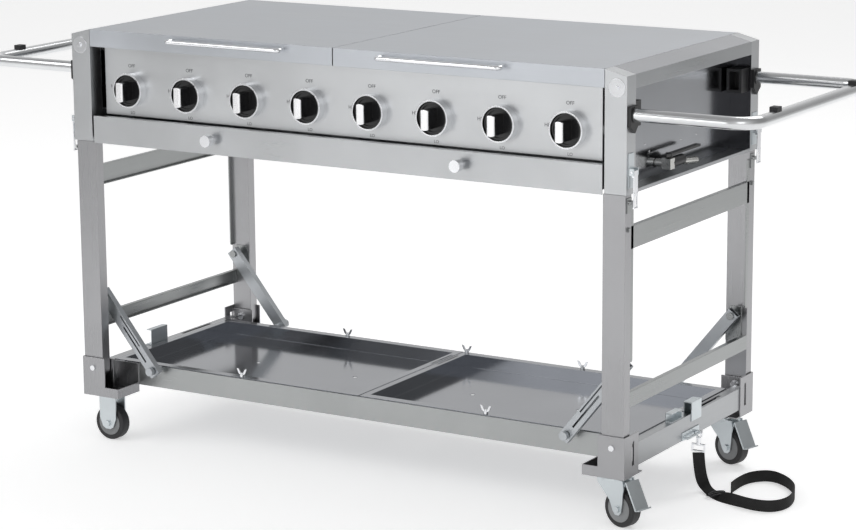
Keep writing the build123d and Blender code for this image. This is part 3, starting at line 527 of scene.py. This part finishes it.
# Side shells: the recessed web and the shoulder are smoother than the folded skirt, and a darker
# copy of the steel paints shade into the recess and onto the shoulder's slope.
shells = rebuild("side_shells", islands("head_side_shells"), STEEL_Y, "head")
second_material(shells, SHADED_WEB_STEEL, web_or_slope)
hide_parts("head_side_shells")

# Corner posts: the rear pair's forward faces get painted shade and painted reflection, a
# near-black steel standing in for the shadow and the dark reflection inside the side recess, not a
# finish of their own. That it is a finish and not a reflection is a guess.
posts = rebuild("corner_posts", islands("head_corner_posts"), STEEL_Z, "head")
second_material(posts, PAINTED_SHADE_STEEL, lambda face: face.normal.y < -0.9 and face.center.y > 0.2)
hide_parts("head_corner_posts")

# Covers: brushed sheet, and a chromed bow handle on each.
for side in ("left", "right"):
    name = f"cover_{side}"
    solids = smallest_first(name)
    rebuild(f"cover_handle_{side}", solids[:-1], CHROME, name)
    sheet = rebuild(f"cover_sheet_{side}", solids[-1:], COVER_STEEL, name)
    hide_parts(name)

# Gas train: black cock body, bright elbow, pipe and coupling.
cock = []
bright = []
for solid in islands("gas_train"):
    middle = (solid[0] + solid[1]) / 2
    is_cock = middle.x > 0.63 and (solid[1] - solid[0]).length < 0.07
    (cock if is_cock else bright).append(solid)
rebuild("gas_cock_body", cock, BLACK, "head")
pipework = rebuild("gas_pipework", bright, FITTING, "head")
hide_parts("gas_train")

# ---------------------------------------------------------------- strap adjuster


GLIDE_HALF = (0.0125, 0.0185)  # half its size along and across the webbing
GLIDE_WIRE = 0.003
GLIDE_THICK = 0.0018
GLIDE_RISE = 0.003  # its middle above the webbing's middle


def oval_glide(name, centre, along, across, material, body):
    """Flat oval tri-glide: an outer ring and a middle bar, lying on the webbing."""
    up = along.cross(across).normalized()
    bm = bmesh.new()
    rings = []
    count = 36
    for i in range(count):
        turn = 2 * math.pi * i / count
        spine = along * GLIDE_HALF[0] * math.cos(turn) + across * GLIDE_HALF[1] * math.sin(turn)
        out = (along * math.cos(turn) + across * math.sin(turn)).normalized()
        ring = []
        for k in range(8):
            a = 2 * math.pi * k / 8
            wire = out * GLIDE_WIRE * math.cos(a) + up * GLIDE_THICK * math.sin(a)
            ring.append(bm.verts.new(centre + spine + wire))
        rings.append(ring)
    for i in range(count):
        a, b = rings[i], rings[(i + 1) % count]
        for k in range(8):
            j = (k + 1) % 8
            bm.faces.new((a[k], a[j], b[j], b[k]))
    add_rod(bm, centre - across * 0.0175, centre + across * 0.0175, 0.0022, 10)
    return from_bmesh(name, bm, material, body)


glide_middle = (control[3][0] + control[4][0]) / 2
glide_along = (control[4][0] - control[3][0]).normalized()
glide_across = Vector((0.54, 0.84, 0.1))
glide_across = (glide_across - glide_along * glide_across.dot(glide_along)).normalized()
glide_middle += Vector((0, 0, GLIDE_RISE))
glide = oval_glide("strap_glide", glide_middle, glide_along, glide_across, KNOB_BLACK, "base")
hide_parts("strap_slider")

# ---------------------------------------------------------------- added details

# Rivets on the side webs, as distance back from the head's middle and height.
WEB_FACE = 0.6238
RIVETS = [
    (-0.131, 0.748),
    (-0.112, 0.731),
    (0.029, 0.734),
    (0.100, 0.735),
    (0.136, 0.713),
    (-0.009, 0.711),
    (0.058, 0.758),
    (0.239, 0.726),
]
for side in ("left", "right"):
    way = sign(side)
    bm = bmesh.new()
    for y, z in RIVETS:
        add_dome(bm, (way * WEB_FACE, y + SHIFT_Y, z), (way, 0, 0), 0.0028, 0.0012)
    from_bmesh(f"web_rivets_{side}", bm, CHROME, "head")


FASCIA_Y = -0.2721 + SHIFT_Y  # 0.1 mm in front of the panel


def dial_mark(name, text, x, z, size):
    """Printed mark on the fascia, a hair proud of it."""
    curve = bpy.data.curves.new(name, "FONT")
    curve.body = text
    curve.size = size
    curve.align_x = "CENTER"
    curve.align_y = "CENTER"
    curve.extrude = 0.00008
    source = bpy.data.objects.new(name + "_curve", curve)
    scene.collection.objects.link(source)
    mesh = bpy.data.meshes.new_from_object(source)
    bpy.data.objects.remove(source)
    turn = Matrix.Translation((x, FASCIA_Y, z)) @ Matrix.Rotation(math.radians(90), 4, "X")
    mesh.transform(turn)
    return add_object(name, mesh, INK, "head")


for i, x in enumerate(KNOB_X):
    dial_mark(f"mark_off_{i + 1}", "OFF", x, KNOB_Z + 0.051, 0.0105)
    dial_mark(f"mark_high_{i + 1}", "HI", x - 0.052, KNOB_Z + 0.004, 0.0105)
    dial_mark(f"mark_low_{i + 1}", "LO", x, KNOB_Z - 0.050, 0.0090)

# ---------------------------------------------------------------- stage and lights


def area_light(name, place, target, size, power):
    data = bpy.data.lights.new(name, "AREA")
    data.shape = "RECTANGLE"
    data.size, data.size_y = size
    data.energy = power
    obj = bpy.data.objects.new(name, data)
    scene.collection.objects.link(obj)
    obj.location = place
    obj.visible_camera = False
    obj.rotation_euler = (Vector(target) - Vector(place)).to_track_quat("-Z", "Y").to_euler()


def ramp_over(tree, value, low, high, stops):
    """A smooth brightness curve over a value, as (place, level) stops."""
    span = tree.nodes.new("ShaderNodeMapRange")
    span.inputs["From Min"].default_value = low
    span.inputs["From Max"].default_value = high
    tree.links.new(value, span.inputs["Value"])
    ramp = tree.nodes.new("ShaderNodeValToRGB")
    ramp.color_ramp.interpolation = "EASE"
    elements = ramp.color_ramp.elements
    while len(elements) < len(stops):
        elements.new(0.5)
    for element, (place, level) in zip(elements, stops):
        element.position = place
        element.color = (level, level, level, 1.0)
    tree.links.new(span.outputs["Result"], ramp.inputs[0])
    return ramp.outputs["Color"]


ROOM_RIGHT = (0.854, 0.520, 0.0)


def across_room(tree, vector):
    """Place from left to right across the studio, as the scene's own camera faces it.

    The direction is fixed in the room, so the stage's light doesn't move with other views.
    """
    dot = tree.nodes.new("ShaderNodeVectorMath")
    dot.operation = "DOT_PRODUCT"
    dot.inputs[1].default_value = ROOM_RIGHT
    tree.links.new(vector, dot.inputs[0])
    return dot.outputs["Value"]


def floor_material():
    """White paper floor with painted light: an emitted glow laid across the studio as the scene's
    camera faces it, strongest in a middle band and fading to both sides.
    """
    material, tree, shader = node_tree("floor_paint")
    fine = noise(tree, stretched(tree, (1, 1, 1)), 40.0, 3.0)
    tint = blend_colours(tree, fine, (0.90, 0.90, 0.90), (0.94, 0.94, 0.94))
    tree.links.new(tint, shader.inputs["Base Color"])
    tree.links.new(tint, shader.inputs["Emission Color"])
    tree.links.new(remap(tree, fine, 0.85, 0.95), shader.inputs["Roughness"])
    tree.links.new(bump(tree, fine, 0.0002, 0.1), shader.inputs["Normal"])
    across = across_room(tree, stretched(tree, (1, 1, 1)))
    stops = [(0.0, 0.05), (0.28, 0.22), (0.42, 0.46), (0.80, 0.46), (0.97, 0.10)]
    # Painted light: the emission strength ramps across the floor along the scene camera's
    # right-hand direction.
    glow = ramp_over(tree, across, -7.0, 5.0, stops)
    tree.links.new(glow, shader.inputs["Emission Strength"])
    return material


bm = bmesh.new()
bmesh.ops.create_grid(bm, x_segments=1, y_segments=1, size=30.0)
floor_mesh = bpy.data.meshes.new("floor")
bm.to_mesh(floor_mesh)
bm.free()
floor = bpy.data.objects.new("floor", floor_mesh)
scene.collection.objects.link(floor)
floor_mesh.materials.append(floor_material())

area_light("key", (-3.2, -3.4, 3.6), (0, 0, 0.5), (3.0, 2.0), 50)
area_light("fill", (3.5, -4.5, 2.6), (0.3, -0.3, 0.7), (2.5, 2.5), 20)
area_light("back", (0.8, 2.6, 4.4), (0, 0, 0.6), (3.0, 2.0), 60)
area_light("front", (-1.5, -4.3, 1.2), (0.4, -0.3, 0.8), (1.8, 1.6), 16)

world = bpy.data.worlds.new("world")
scene.world = world
world.use_nodes = True
wt = world.node_tree
background = wt.nodes["Background"]
background.inputs["Color"].default_value = (1.0, 1.0, 1.0, 1.0)
where = wt.nodes.new("ShaderNodeTexCoord")
apart = wt.nodes.new("ShaderNodeSeparateXYZ")
wt.links.new(where.outputs["Generated"], apart.inputs[0])
upward = ramp_over(wt, apart.outputs["Z"], -0.1, 1.0, [(0.0, 1.0), (0.3, 0.80), (1.0, 0.45)])
across = across_room(wt, where.outputs["Generated"])
sideways = ramp_over(wt, across, -1.0, 1.0, [(0.0, 0.55), (0.45, 1.0), (0.6, 1.0), (1.0, 0.4)])
product = wt.nodes.new("ShaderNodeMath")
product.operation = "MULTIPLY"
wt.links.new(upward, product.inputs[0])
wt.links.new(sideways, product.inputs[1])
wt.links.new(product.outputs[0], background.inputs["Strength"])

scene.view_settings.view_transform = "Standard"
scene.view_settings.exposure = 0.0
